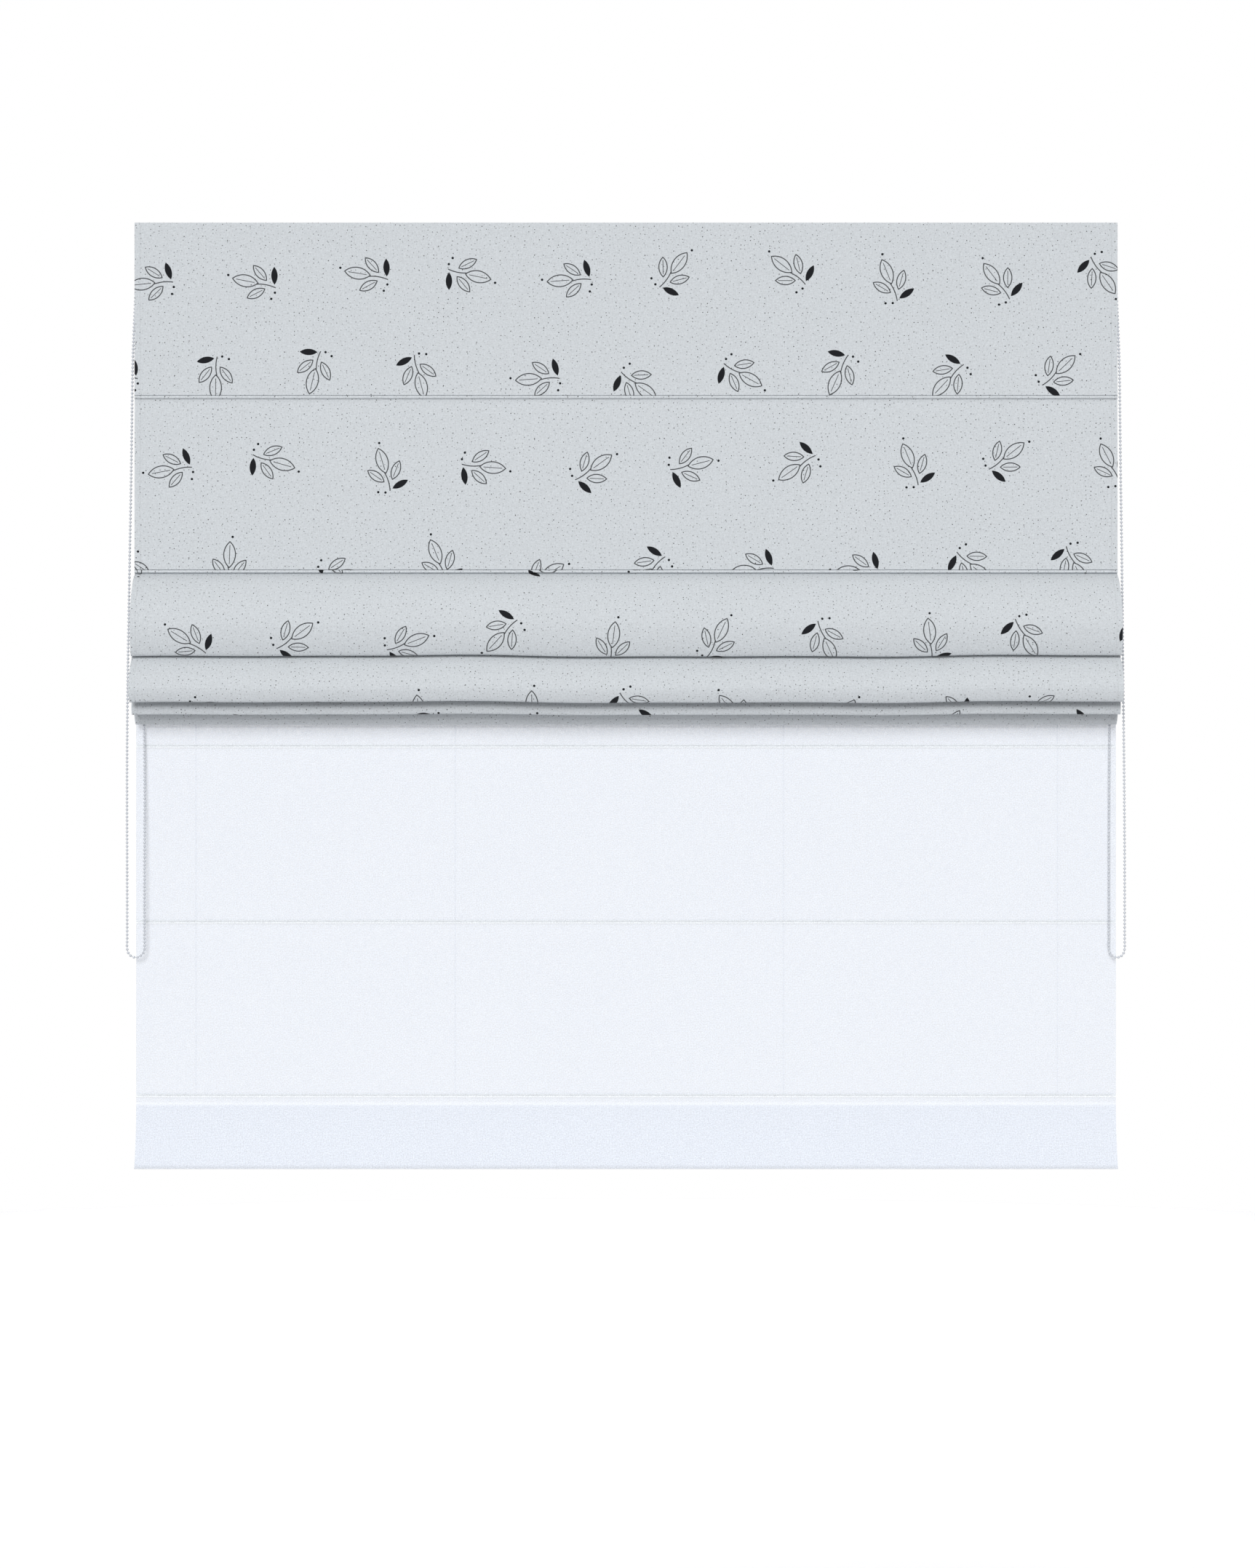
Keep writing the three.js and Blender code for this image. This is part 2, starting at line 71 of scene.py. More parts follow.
# Rod pockets: drop of the seam, neck from the cloth back to the rod, and depth of the crease
# just below the seam
CLOTH_POCKETS = [
    {"drop": 281.0, "neck": 6.5, "crease": 3.2},
    {"drop": 565.0, "neck": 6.5, "crease": 4.6},
    {"drop": 640.0, "neck": 6.5, "crease": 0.0},
    {"drop": 665.0, "neck": 6.5, "crease": 0.0},
    {"drop": 689.0, "neck": 6.5, "crease": 0.0},
]
SHEER_POCKETS = [
    {"drop": drop, "neck": 1.2, "crease": 0.7} for drop in (278.0, 564.5, 851.0, 1138.5, 1423.0)
]

# Rod, and gaps from it to its pocket, between a seam's two layers and between a hem's
ROD_RADIUS = 2.0
LAYER_GAP = 0.3
SEAM_GAP = 0.06
HEM_GAP = 0.5

# The rod's near side lies this far behind its pocket's neck. A neck past the long one keeps
# straight sides, and its round part opens wider, in degrees from straight ahead
ROD_STANDOFF = 1.3
LONG_NECK = 3.0
RING_OPENING = {"long": 70, "short": 20}
RING_POINTS = 13

# A pocket's mouth: how far behind the plane its lips start, at most and as a share of the neck.
# Then [reach, drop] steps from the seam: of cloth that hangs into it, of a fold that comes into
# it or leaves it, and of the ridge under it; and shares of the crease's depth with their drops
LIP = {"most": 1.4, "share": 0.5}
HANGING_ENTRY = [[0, -7], [0.15, -2.5], [0.1, -0.7]]
FOLD_ENTRY = [[0.8, -0.3]]
FOLD_EXIT = [[0.8, 0.3]]
RIDGE = [[-0.1, 0.06], [0.45, 0.7], [0.75, 1.8], [0.55, 2.7]]
CREASE = [[0.3, 3.3], [0.75, 4.1], [1, 5.2]]

# Section points of a crease run, crowded towards its start by this power, of the top panel, and
# of each span of a fold, of the tail and of a chain's route
CREASE_RUN = {"points": 12, "crowding": 1.4}
PANEL_POINTS = 12
SPAN_POINTS = {"fold": 6, "tail": 4, "chain": 12}

# Columns of the two meshes, the angle past which an edge is sharp, and the most that a sheet
# may widen at a bend
CLOTH_COLUMNS = 125
SHEER_COLUMNS = 81
SHARP_ANGLE = math.radians(50)
MITER_LIMIT = 1.45

# Raised folds from the front down, as [reach, drop] stations down the front of the fold, round
# its bottom and back up behind it
FOLDS = [
    [[16, 584], [33, 604], [46, 627], [53, 655], [51, 678], [45.5, 696], [39, 706.4], [33, 702],
     [30, 690], [22, 655], [9, 629]],
    [[12, 658], [21, 692], [30, 709], [45, 722.5], [58.5, 740], [64.5, 758], [61, 773], [54, 781.8],
     [46, 773], [27, 730], [7, 658]],
    [[9.5, 684], [18, 724], [25, 762], [31, 782], [32.5, 793], [28, 801.2], [21, 794], [12, 756],
     [7.8, 703], [6.3, 690.5], [3.5, 684]],
]
TAIL = [[-2, 715], [-3, 750], [1, 778], [3, 790], [1.5, 801], [-4, 810], [-10.4, 816.2]]
TAIL_HEM = 38.0
SHEER_HEM = {"top": 1435.0, "bottom": 1540.8, "kick": 22.0, "points": 24}

# Sag and swell of the raised folds along the width, as turns over the wave width, and the reach
# from which the cloth is free to move so and at which it is wholly free
WAVE_WIDTH = 1600.0
FOLD_WAVES = [
    {"turns": 1.5, "phase": 0.6, "sag": 1.1, "swell": 1.0},
    {"turns": 3.5, "phase": 2.1, "sag": 0.8, "swell": 0.8},
    {"turns": 6, "phase": 4.0, "sag": 0.45, "swell": 0.5},
]
FOLD_FREE = (8.0, 40.0)

# Routes of the two bead chains: exit under the housing, down the outer strand, round the
# bottom and up the inner strand, in millimetres
CHAIN_ROUTES = {
    "left": [
        [-797, -47.7, -23.3], [-798, -47.9, -70], [-800.2, -48.1, -120], [-802.4, -48.3, -170],
        [-804, -48.5, -225], [-805, -48.5, -300], [-806.4, -48.3, -400], [-808.2, -48, -500],
        [-810, -47.4, -600], [-811.8, -46.4, -700], [-813, -45, -790], [-813.7, -43.4, -870],
        [-814, -41.8, -950], [-814, -40.7, -1030], [-814, -40.2, -1100], [-814, -40.2, -1145],
        [-814, -40.2, -1163], [-811.9, -40.2, -1170.4], [-807, -40.2, -1175.3],
        [-800, -40.2, -1177.2], [-793, -40.2, -1175.3], [-788.1, -40.2, -1170.4],
        [-786, -40.2, -1163], [-786, -40.2, -1145], [-786, -40.1, -1100], [-786, -39.4, -1030],
        [-786, -37.2, -950], [-786.4, -34.4, -880], [-787.5, -32.9, -800], [-789, -32.7, -700],
        [-790.5, -32.7, -600], [-792, -32.7, -500], [-793.3, -32.7, -400], [-794.6, -32.7, -300],
        [-795.7, -32.7, -200], [-796.5, -32.7, -110], [-797, -32.7, -23.3],
    ],
    "right": [
        [797, -47.7, -23.3], [798, -47.8, -70], [800.2, -48, -120], [802.4, -48, -170],
        [804, -48, -225], [804.8, -48, -300], [806, -48, -400], [807.4, -48, -500],
        [808.6, -48, -600], [809.6, -48, -700], [810.6, -47.9, -790], [811.4, -47.8, -870],
        [812, -47.7, -950], [812.3, -47.7, -1030], [812.3, -47.7, -1100], [812.3, -47.7, -1145],
        [812.3, -47.7, -1163], [810.6, -46.6, -1170.4], [806.5, -44, -1175.3],
        [800.7, -40.2, -1177.2], [794.8, -36.4, -1175.3], [790.7, -33.8, -1170.4],
        [789, -32.7, -1163], [789, -32.7, -1145], [789, -32.7, -1100], [789, -32.7, -1030],
        [789.1, -32.7, -950], [789.4, -32.7, -880], [790, -32.7, -800], [790.9, -32.7, -700],
        [791.9, -32.7, -600], [792.9, -32.7, -500], [793.9, -32.7, -400], [794.8, -32.7, -300],
        [795.7, -32.7, -200], [796.5, -32.7, -110], [797, -32.7, -23.3],
    ],
}

# Sides of a bead and of the string, and bands of a bead from pole to pole
BEAD_SIDES = 8
BEAD_RINGS = 6
STRING_SIDES = 6

# Length of the string's pieces, in metres, and a direction that it never runs along
STRING_STEP = 0.004
STRING_SIDEWAYS = [0.0, 1.0, 0.03]

# One sprig of the print, in metres from its middle, along and aside of its stem: leaves with
# their turn in degrees, middle, and half length and half width
SPRIG_LEAVES = [
    {"turn": 0, "middle": (0.017, 0), "half": (0.021, 0.0095)},
    {"turn": 38, "middle": (-0.004, 0.017), "half": (0.016, 0.0068)},
    {"turn": -38, "middle": (-0.004, -0.017), "half": (0.016, 0.0068)},
]
SOLID_LEAF = {"turn": 78, "middle": (-0.028, 0.017), "half": (0.0145, 0.0052)}
SPRIG_BERRIES = [(-0.034, -0.010), (-0.030, -0.021), (0.046, 0.004)]
SPRIG_STEM = {"middle": -0.018, "half_length": 0.0155, "bend": 8.0}

# Sideways step of each row of sprigs and how far a sprig strays in its cell, both as shares of
# the spacing, and the seed of their turns and strays
ROW_OFFSET = 0.41
SPRIG_STRAY = 0.16
SPRIG_SEED = 0.5

# Edges of the ink, in metres from the middle of a line or a berry, or from the edge of a solid
# leaf: full ink up to the first, none from the second. A midrib and the stem end alike, the
# midrib at these shares of the leaf's half length, the stem over this length
LINE_INK = (0.0005, 0.0012)
RIB_INK = (0.0003, 0.0008)
BERRY_INK = (0.0017, 0.0023)
SOLID_INK = (-0.0003, 0.0003)
RIB_END = (0.70, 0.74)
STEM_FADE = 0.0005

# The side of a cloth runs from 0 at its back to 1 at its front; the print ends between these
PRINTED_SIDE = (0.4, 0.6)

# Uneven threads are noise drawn out along the thread by this factor on its length
THREAD_STRETCH = 0.12

# Speckle: cells a metre with one speck each, and the ink's edges as shares of a cell
SPECKLE = {"cells": 128.0, "ink": (0.085, 0.135)}

# Stitching of the side hems: distance from the cloth's edge, and edges of its groove
SIDE_STITCH = 0.0095
STITCH_GROOVE = (0.0004, 0.0012)

# Seams of the sheer: their middle below the pocket's drop, in millimetres, the edges of the
# whiter band, in metres, and its colour. The band is whiter partly because the doubled cloth is
# denser and partly as painted light: a painted highlight over the shade in the seam's recess
SHEER_SEAM = {"below": 1.0, "band": (0.0026, 0.0036), "colour": (0.94, 0.97, 1.0)}

# Braid of the lift cords: length of a strand's turn along and across the cord, in metres
BRAID = {"along": 0.0021, "across": 0.0012}

# Camera at the photograph's angle, and the floor far below the blind, in metres
CAMERA = {"place": (0.0024, -5.053, -0.894), "lens": 70.51, "sensor": 36.0, "clip": 100.0}
FLOOR = {"radius": 12.0, "height": -3.2, "sides": 96}

# Studio: how bright the surroundings are as light in front and behind, and where along the
# view's backward part one turns into the other; the broad key light from the upper left front
# as strength, spread, height and turn in degrees; and the soft disc light that shines straight
# down on the floor behind the blind, in metres and watts
AMBIENT = {"front": 0.30, "back": 0.60, "turn": (-0.3, 0.5)}
KEY_LIGHT = {"strength": 2.55, "spread": 32.0, "height": 25.0, "left": 8.0}
FLOOR_LIGHT = {"place": (0.0, 8.0, 2.4), "size": 9.0, "power": 560.0}


def length_setting(name, description, default, low=0.0):
    """A size in metres that a user may change."""
    return bpy.props.FloatProperty(
        name=name, description=description, default=default, min=low, max=10.0,
        unit="LENGTH", precision=4,
    )


def colour_setting(name, description, default):
    """A linear colour that a user may change."""
    return bpy.props.FloatVectorProperty(
        name=name, description=description, default=default, min=0.0, max=1.0,
        size=3, subtype="COLOR",
    )


def share_setting(name, description, default):
    """A share from 0 to 1 that a user may change."""
    return bpy.props.FloatProperty(
        name=name, description=description, default=default, min=0.0, max=1.0, subtype="FACTOR",
    )


class BlindSizes(bpy.types.PropertyGroup):
    """Sizes of the blind's soft pieces."""

    cloth_width: length_setting("Cloth width", "Width of the front cloth", 1.6)
    sheer_width: length_setting("Sheer width", "Width of the sheer", 1.603)
    cloth_thickness: length_setting("Cloth thickness", "Thickness of the front cloth", 0.0012)
    sheer_thickness: length_setting("Sheer thickness", "Thickness of the sheer", 0.0008)
    bead_diameter: length_setting("Bead diameter", "Diameter of a chain bead", 0.0045)
    bead_pitch: length_setting("Bead pitch", "Distance from bead to bead", 0.006, 0.004)
    string_diameter: length_setting("String diameter", "Diameter of the chain's string", 0.0012)
    sprig_spacing: length_setting("Sprig spacing", "Distance between printed sprigs", 0.17, 0.05)
    thread_pitch: length_setting("Thread pitch", "Distance between the cloth's threads", 0.0009)


class BlindColours(bpy.types.PropertyGroup):
    """Colours and covers of the blind's finishes."""

    cloth: colour_setting("Cloth", "Ground colour of the front cloth", (0.655, 0.688, 0.716))
    ink: colour_setting("Ink", "Colour of the printed lines", (0.010, 0.011, 0.014))
    sheer: colour_setting("Sheer", "Colour of the sheer's threads", (0.80, 0.835, 0.895))
    sheer_cover: share_setting("Sheer cover", "Share of the light that one layer of sheer stops", 0.51)
    bead: colour_setting("Beads", "Colour of the chain's beads", (0.57, 0.595, 0.64))
    plastic: colour_setting("Plastic", "Colour of the end housings", (0.78, 0.79, 0.80))
    enamel: colour_setting("Enamel", "Colour of the brackets", (0.74, 0.75, 0.76))
    rail: colour_setting("Rail", "Colour of the aluminium rails", (0.62, 0.63, 0.65))
    rod: colour_setting("Rods", "Colour of the rods in the pockets", (0.80, 0.80, 0.79))
    screw: colour_setting("Screws", "Colour of the plated screws", (0.55, 0.55, 0.54))
    cord: colour_setting("Cord", "Colour of the lift cords", (0.86, 0.87, 0.89))
    floor: colour_setting("Floor", "Colour of the studio floor", (0.72, 0.72, 0.73))


def smooth_curve(points, per_span, spacing=0.0, extend=False):
    """Points of a smooth curve through points, per_span to a span.

    Each span is the cubic with its two ends' places and slopes. A slope comes from the
    neighbouring points, with parameter steps of their distance to the power spacing. Past the
    ends a point is repeated, or mirrored through the end where extend is set.
    """
    points = np.asarray(points, float)
    first, last = (2 * points[0] - points[1], 2 * points[-1] - points[-2]) if extend else points[[0, -1]]
    padded = np.vstack([first, points, last])
    steps = np.linalg.norm(np.diff(padded, axis=0), axis=1)[:, None]
    steps = np.where(steps > TINY, steps, 1.0) ** spacing
    before, start, end, after = padded[:-3], padded[1:-2], padded[2:-1], padded[3:]
    step0, step1, step2 = steps[:-2], steps[1:-1], steps[2:]
    slope_in = ((start - before) / step0 - (end - before) / (step0 + step1) + (end - start) / step1) * step1
    slope_out = ((end - start) / step1 - (after - start) / (step1 + step2) + (after - end) / step2) * step1
    t = (np.arange(per_span) / per_span)[None, :, None]
    start, end, slope_in, slope_out = (a[:, None, :] for a in (start, end, slope_in, slope_out))
    curve = (
        (2 * t**3 - 3 * t**2 + 1) * start + (t**3 - 2 * t**2 + t) * slope_in
        + (3 * t**2 - 2 * t**3) * end + (t**3 - t**2) * slope_out
    )
    return np.vstack([curve.reshape(-1, points.shape[1]), points[-1:]])


def lengths_along(points):
    """Length along a line of points, from its start to each point."""
    return np.concatenate([[0.0], np.cumsum(np.linalg.norm(np.diff(points, axis=0), axis=1))])


def evenly(points, step):
    """The same line with points about step apart: each coordinate is read off at equal lengths."""
    lengths = lengths_along(points)
    at = np.linspace(0.0, lengths[-1], int(round(lengths[-1] / step)) + 1)
    return np.stack([np.interp(at, lengths, points[:, k]) for k in range(points.shape[1])], axis=1)


def ease(low, high, value):
    """Smooth step: 0 at low, 1 at high, 3t^2 - 2t^3 between them."""
    t = np.clip((value - low) / (high - low), 0.0, 1.0)
    return t * t * (3 - 2 * t)


def pocket_line(pocket, thickness, hangs):
    """Section of a rod pocket: to the seam, back through the neck, round the rod and out.

    The round part is a circle about the rod, open towards the seam. Cloth that hangs above the
    pocket bulges a little before it turns in. A creased pocket comes out as a low ridge and
    dips into a crease, from which the next stretch of cloth starts.
    """
    drop, neck, depth = pocket["drop"], pocket["neck"], pocket["crease"]
    long_neck = neck > LONG_NECK
    low = drop + thickness + SEAM_GAP
    wrap = ROD_RADIUS + LAYER_GAP + thickness / 2
    opening = RING_OPENING["long" if long_neck else "short"]
    angles = np.radians(np.linspace(opening, 360 - opening, RING_POINTS))
    reach_of_rod = -(neck + ROD_RADIUS + ROD_STANDOFF)
    ring = np.stack(
        [reach_of_rod + wrap * np.cos(angles), (drop + low) / 2 - wrap * np.sin(angles)], axis=1
    ).tolist()
    if long_neck:
        ring = [[-neck, drop], *ring, [-neck, low]]
    lip = min(neck * LIP["share"], LIP["most"])
    entry = [[reach, drop + step] for reach, step in (HANGING_ENTRY if hangs else FOLD_ENTRY)]
    way_out = [[reach, low + step] for reach, step in (RIDGE if depth else FOLD_EXIT)]
    if depth:
        way_out += [[-depth * share, low + step] for share, step in CREASE]
    return [*entry, [-lip, drop], *ring, [-lip, low], *way_out]


def crease_run(start, depth, end):
    """Cloth below a crease: its depth dies away as the cube of what is left of the run."""
    share = np.linspace(0, 1, CREASE_RUN["points"] + 2)[1:-1]
    drops = start[1] + share ** CREASE_RUN["crowding"] * (end[1] - start[1])
    return np.stack([-depth * (1 - share) ** 3, drops], axis=1).tolist()


def panel(start, end, count):
    """Straight hanging run of count points strictly between two section points."""
    shares = np.linspace(0, 1, count + 2)[1:-1, None]
    return ((1 - shares) * np.asarray(start) + shares * np.asarray(end)).tolist()


def with_hem(line, height, gap):
    """Adds a hem: the last stretch of the line, height long, is followed back up behind itself."""
    line = np.asarray(line, float)
    lengths = lengths_along(line)
    hem = line[lengths >= lengths[-1] - height]
    tangent = np.gradient(hem, axis=0)
    tangent /= np.linalg.norm(tangent, axis=1, keepdims=True)
    behind = hem + gap * np.stack([-tangent[:, 1], tangent[:, 0]], axis=1)
    return np.vstack([line, behind[::-1]])


def cloth_section(thickness):
    """Section of the front cloth: two hanging panels, three raised folds and the last panel."""
    first, second, *stacked = CLOTH_POCKETS
    entry = pocket_line(first, thickness, True)
    line = [[0, 0], *panel([0, 0], entry[0], PANEL_POINTS), *entry]
    entry = pocket_line(second, thickness, True)
    line += crease_run(line[-1], first["crease"], entry[0]) + entry
    for stations, pocket in zip(FOLDS, stacked):
        entry = pocket_line(pocket, thickness, False)
        fold = smooth_curve([line[-1], *stations, entry[0]], SPAN_POINTS["fold"])
        line += fold[1:-1].tolist() + entry
    line += smooth_curve([line[-1], *TAIL], SPAN_POINTS["tail"])[1:].tolist()
    return with_hem(line, TAIL_HEM, thickness + HEM_GAP)


def sheer_section(thickness):
    """Section of the sheer: straight between its pockets, then the hem kicking forward.

    The hem's reach is its kick times the square of the share of its height.
    """
    line = [[0, SHEER_TOP_DROP]]
    depth = 0.0
    for pocket in SHEER_POCKETS:
        entry = pocket_line(pocket, thickness, True)
        line += crease_run(line[-1], depth, entry[0]) + entry
        depth = pocket["crease"]
    share = np.linspace(0, 1, SHEER_HEM["points"])
    drops = SHEER_HEM["top"] + share * (SHEER_HEM["bottom"] - SHEER_HEM["top"])
    line += np.stack([SHEER_HEM["kick"] * share**2, drops], axis=1)[1:].tolist()
    return with_hem(line, SHEER_HEM["bottom"] - SHEER_HEM["top"], thickness + HEM_GAP)


def fold_waves(x, reach, waves):
    """Swell and sag of the folds: sums of sines of the place across, where the cloth is free."""
    free = ease(*FOLD_FREE, reach)
    swell = np.zeros(np.broadcast_shapes(x.shape, reach.shape))
    sag = np.zeros_like(swell)
    for wave in waves:
        angle = 2 * np.pi * wave["turns"] * x / WAVE_WIDTH + wave["phase"]
        swell += free * wave["swell"] * np.cos(angle)
        sag += free * wave["sag"] * np.sin(angle)
    return swell, sag


def sheet_arrays(section, width, thickness, plane, columns, waves):
    """Points, faces and cloth places of a hung cloth with a real thickness.

    Its section is carried along the width in columns, with the waves' swell added to the reach
    and their sag to the drop. Each point then moves half the thickness to either side, square
    to the section, and a little more at a bend so that the layer keeps its thickness. The front
    and back grids are joined round the rim, so the sheet is one closed body.
    """
    count = len(section)
    x = np.linspace(-width / 2, width / 2, columns)[:, None]
    reach, drop = section[None, :, 0], section[None, :, 1]
    swell, sag = fold_waves(x, reach, waves)
    middle = np.stack([reach + swell, drop + sag], axis=2)
    ahead = np.concatenate([middle[:, 1:], middle[:, -1:]], axis=1)
    behind = np.concatenate([middle[:, :1], middle[:, :-1]], axis=1)

    def unit(vectors):
        """The vectors, each divided by its length."""
        return vectors / np.maximum(np.linalg.norm(vectors, axis=2, keepdims=True), TINY)

    leaving, coming = unit(ahead - middle), unit(middle - behind)
    leaving[:, -1], coming[:, 0] = coming[:, -1], leaving[:, 0]
    tangent = unit(leaving + coming)
    miter = 1 / np.maximum((tangent * leaving).sum(axis=2), 1 / MITER_LIMIT)[..., None]
    normal = np.stack([tangent[..., 1], -tangent[..., 0]], axis=2) * miter * thickness / 2
    lengths = np.broadcast_to(lengths_along(section)[None, :], middle.shape[:2])
    across = np.broadcast_to(x, middle.shape[:2])
    points, places = [], []
    for side, face in ((1, 1.0), (-1, 0.0)):
        layer = middle + side * normal
        points.append(np.stack([across, plane - layer[..., 0], CLOTH_TOP - layer[..., 1]], axis=2))
        places.append(np.stack([across, lengths, np.full_like(across, face / MM)], axis=2))
    points = np.concatenate([p.reshape(-1, 3) for p in points]) * MM
    places = np.concatenate([p.reshape(-1, 3) for p in places]) * MM
    index = np.arange(columns * count).reshape(columns, count)
    back = index + columns * count

    def grid(a, b, c, d):
        """Quads from four grids of corner numbers."""
        return np.stack([a, b, c, d], axis=-1).reshape(-1, 4)

    faces = [
        grid(index[:-1, :-1], index[:-1, 1:], index[1:, 1:], index[1:, :-1]),
        grid(back[:-1, :-1], back[1:, :-1], back[1:, 1:], back[:-1, 1:]),
    ]
    for near, far in ((index[:, 0], back[:, 0]), (index[-1], back[-1])):
        faces.append(grid(near[:-1], near[1:], far[1:], far[:-1]))
    for near, far in ((index[:, -1], back[:, -1]), (index[0], back[0])):
        faces.append(grid(near[1:], near[:-1], far[:-1], far[1:]))
    return points, faces, places


def make_piece(name, points, faces, material, places=None):
    """A mesh object at the origin, smooth but for edges past the sharp angle.

    The faces come as a list of arrays, one array for each count of corners.
    """
    mesh = bpy.data.meshes.new(name)
    mesh.from_pydata(points.tolist(), [], sum((block.tolist() for block in faces), []))
    mesh.shade_smooth()
    if places is not None:
        attribute = mesh.attributes.new("cloth_place", "FLOAT_VECTOR", "POINT")
        attribute.data.foreach_set("vector", places.astype(np.float32).ravel())
    mesh.set_sharp_from_angle(angle=SHARP_ANGLE)
    mesh.materials.append(material)
    mesh.validate()
    piece = bpy.data.objects.new(name, mesh)
    bpy.context.scene.collection.objects.link(piece)
    return piece


class Value:
    """An output socket of a material's nodes. Arithmetic on values adds Math nodes."""

    def __init__(self, tree, socket):
        """Keeps the socket and the nodes that it belongs to."""
        self.tree = tree
        self.socket = socket

    def math(self, operation, *others, clamp=False):
        """A Math node with this value first."""
        inputs = dict(enumerate((self, *others)))
        return add_node(self.tree, "ShaderNodeMath", inputs, operation=operation, use_clamp=clamp)

    def __add__(self, other):
        return self.math("ADD", other)

    def __sub__(self, other):
        return self.math("SUBTRACT", other)

    def __rsub__(self, other):
        return add_node(self.tree, "ShaderNodeMath", {0: other, 1: self}, operation="SUBTRACT")

    def __mul__(self, other):
        return self.math("MULTIPLY", other)

    def __truediv__(self, other):
        return self.math("DIVIDE", other)

    def __pow__(self, other):
        return self.math("POWER", other)

    def __abs__(self):
        return self.math("ABSOLUTE")

    __radd__ = __add__

    def most(self, *others):
        """The larger of this value and the others."""
        result = self
        for other in others:
            result = result.math("MAXIMUM", other)
        return result

    def rise(self, low, high):
        """Smooth step of this value: 0 at low and 1 at high."""
        return add_node(
            self.tree, "ShaderNodeMapRange", {"Value": self, "From Min": low, "From Max": high},
            interpolation_type="SMOOTHSTEP",
        )

    def fall(self, low, high):
        """Smooth step of this value: 1 at low and 0 at high."""
        return 1 - self.rise(low, high)


def add_node(tree, kind, inputs=None, output=0, **settings):
    """Adds one node: its settings first, then the values or links of its sockets."""
    node = tree.nodes.new(kind)
    for key, value in settings.items():
        setattr(node, key, value)
    for key, value in (inputs or {}).items():
        if isinstance(value, Value):
            tree.links.new(value.socket, node.inputs[key])
        else:
            node.inputs[key].default_value = value
    return Value(tree, node.outputs[output]) if len(node.outputs) else None


class Finish:
    """A material under construction: its nodes, its coordinates and its surface."""

    def __init__(self, name):
        """Starts a material of this name with no nodes."""
        self.material = bpy.data.materials.new(name)
        self.material.use_nodes = True
        self.tree = self.material.node_tree
        self.tree.nodes.clear()

    def node(self, kind, inputs=None, output=0, **settings):
        """Adds one node to the material."""
        return add_node(self.tree, kind, inputs, output, **settings)

    def object_place(self):
        """X, Y and Z in metres, of the point on the finished piece."""
        return self.node("ShaderNodeTexCoord", output="Object")

    def cloth_place(self):
        """Place across, place along the section and side of the sheet, in metres."""
        return self.node("ShaderNodeAttribute", output="Vector", attribute_name="cloth_place")

    def parts(self, vector):
        """The three numbers of a vector."""
        split = self.node("ShaderNodeSeparateXYZ", {0: vector})
        return [Value(self.tree, split.socket.node.outputs[k]) for k in range(3)]

    def vector(self, x, y, z=0.0):
        """A vector from three numbers."""
        return self.node("ShaderNodeCombineXYZ", {0: x, 1: y, 2: z})

    def noise(self, vector, scale, detail, rough):
        """Cloudy noise about a half, with this many lumps a metre."""
        return self.node(
            "ShaderNodeTexNoise",
            {"Vector": vector, "Scale": scale, "Detail": detail, "Roughness": rough},
        )

    def mix(self, share, first, second):
        """Colour between first and second."""
        colours = [(*c, 1) if isinstance(c, tuple) else c for c in (first, second)]
        return self.node(
            "ShaderNodeMix", {0: share, 6: colours[0], 7: colours[1]}, output=2, data_type="RGBA"
        )

    def tint(self, colour, factor):
        """Colour times a number, by Vector Math so that its hue stays."""
        return self.node("ShaderNodeVectorMath", {0: colour, "Scale": factor}, operation="SCALE")

    def bump(self, height, distance, strength):
        """Normal that makes a height of 1 look this distance high."""
        return self.node(
            "ShaderNodeBump", {"Height": height, "Distance": distance, "Strength": strength}
        )

    def surface(self, inputs):
        """Closes the material with one Principled surface and hands it back."""
        shader = self.node("ShaderNodeBsdfPrincipled", inputs)
        self.node("ShaderNodeOutputMaterial", {"Surface": shader})
        return self.material


def plain_weave(across, down, pitch):
    """Height of a plain weave: each thread is a rounded rib, over and under by turns.

    The rib is the size of a sine across the thread; a chequer of thread crossings picks
    whether the thread across or the thread down is on top.
    """
    turns_across, turns_down = across / pitch, down / pitch
    rib_down = abs((turns_across * math.pi).math("SINE"))
    rib_across = abs((turns_down * math.pi).math("SINE"))
    parity = (turns_across.math("FLOOR") + turns_down.math("FLOOR")) * 0.5
    over = parity.math("FRACT") * 2
    return rib_down * over + rib_across * (1 - over)


def uneven_threads(finish, across, down, scale, rough):
    """Thickness of the threads: half the sum of noise drawn out along each of the two ways."""
    warp = finish.noise(finish.vector(across, down * THREAD_STRETCH), scale, 2.0, rough)
    weft = finish.noise(finish.vector(across * THREAD_STRETCH, down), scale, 2.0, rough)
    return (warp + weft) * 0.5


def length_of(along, aside):
    """Length of the hypotenuse: the root of the two squares' sum."""
    return (along * along + aside * aside).math("SQRT")


def turned(along, aside, cos, sin):
    """The place seen from a frame turned by the angle with this cosine and sine."""
    return along * cos + aside * sin, aside * cos - along * sin


def leaf_place(along, aside, leaf):
    """Place along and aside of a leaf's midrib, from the place on the sprig."""
    angle = math.radians(leaf["turn"])
    shift_along, shift_aside = leaf["middle"]
    return turned(along - shift_along, aside - shift_aside, math.cos(angle), math.sin(angle))


def leaf_distance(along, aside, half_length, half_width):
    """Distance to the outline of a pointed leaf: below 0 inside, above 0 outside.

    The leaf is where two circles overlap; the nearer circle's edge counts.
    """
    radius = (half_length**2 + half_width**2) / (2 * half_width)
    return length_of(along, abs(aside) + (radius - half_width)) - radius


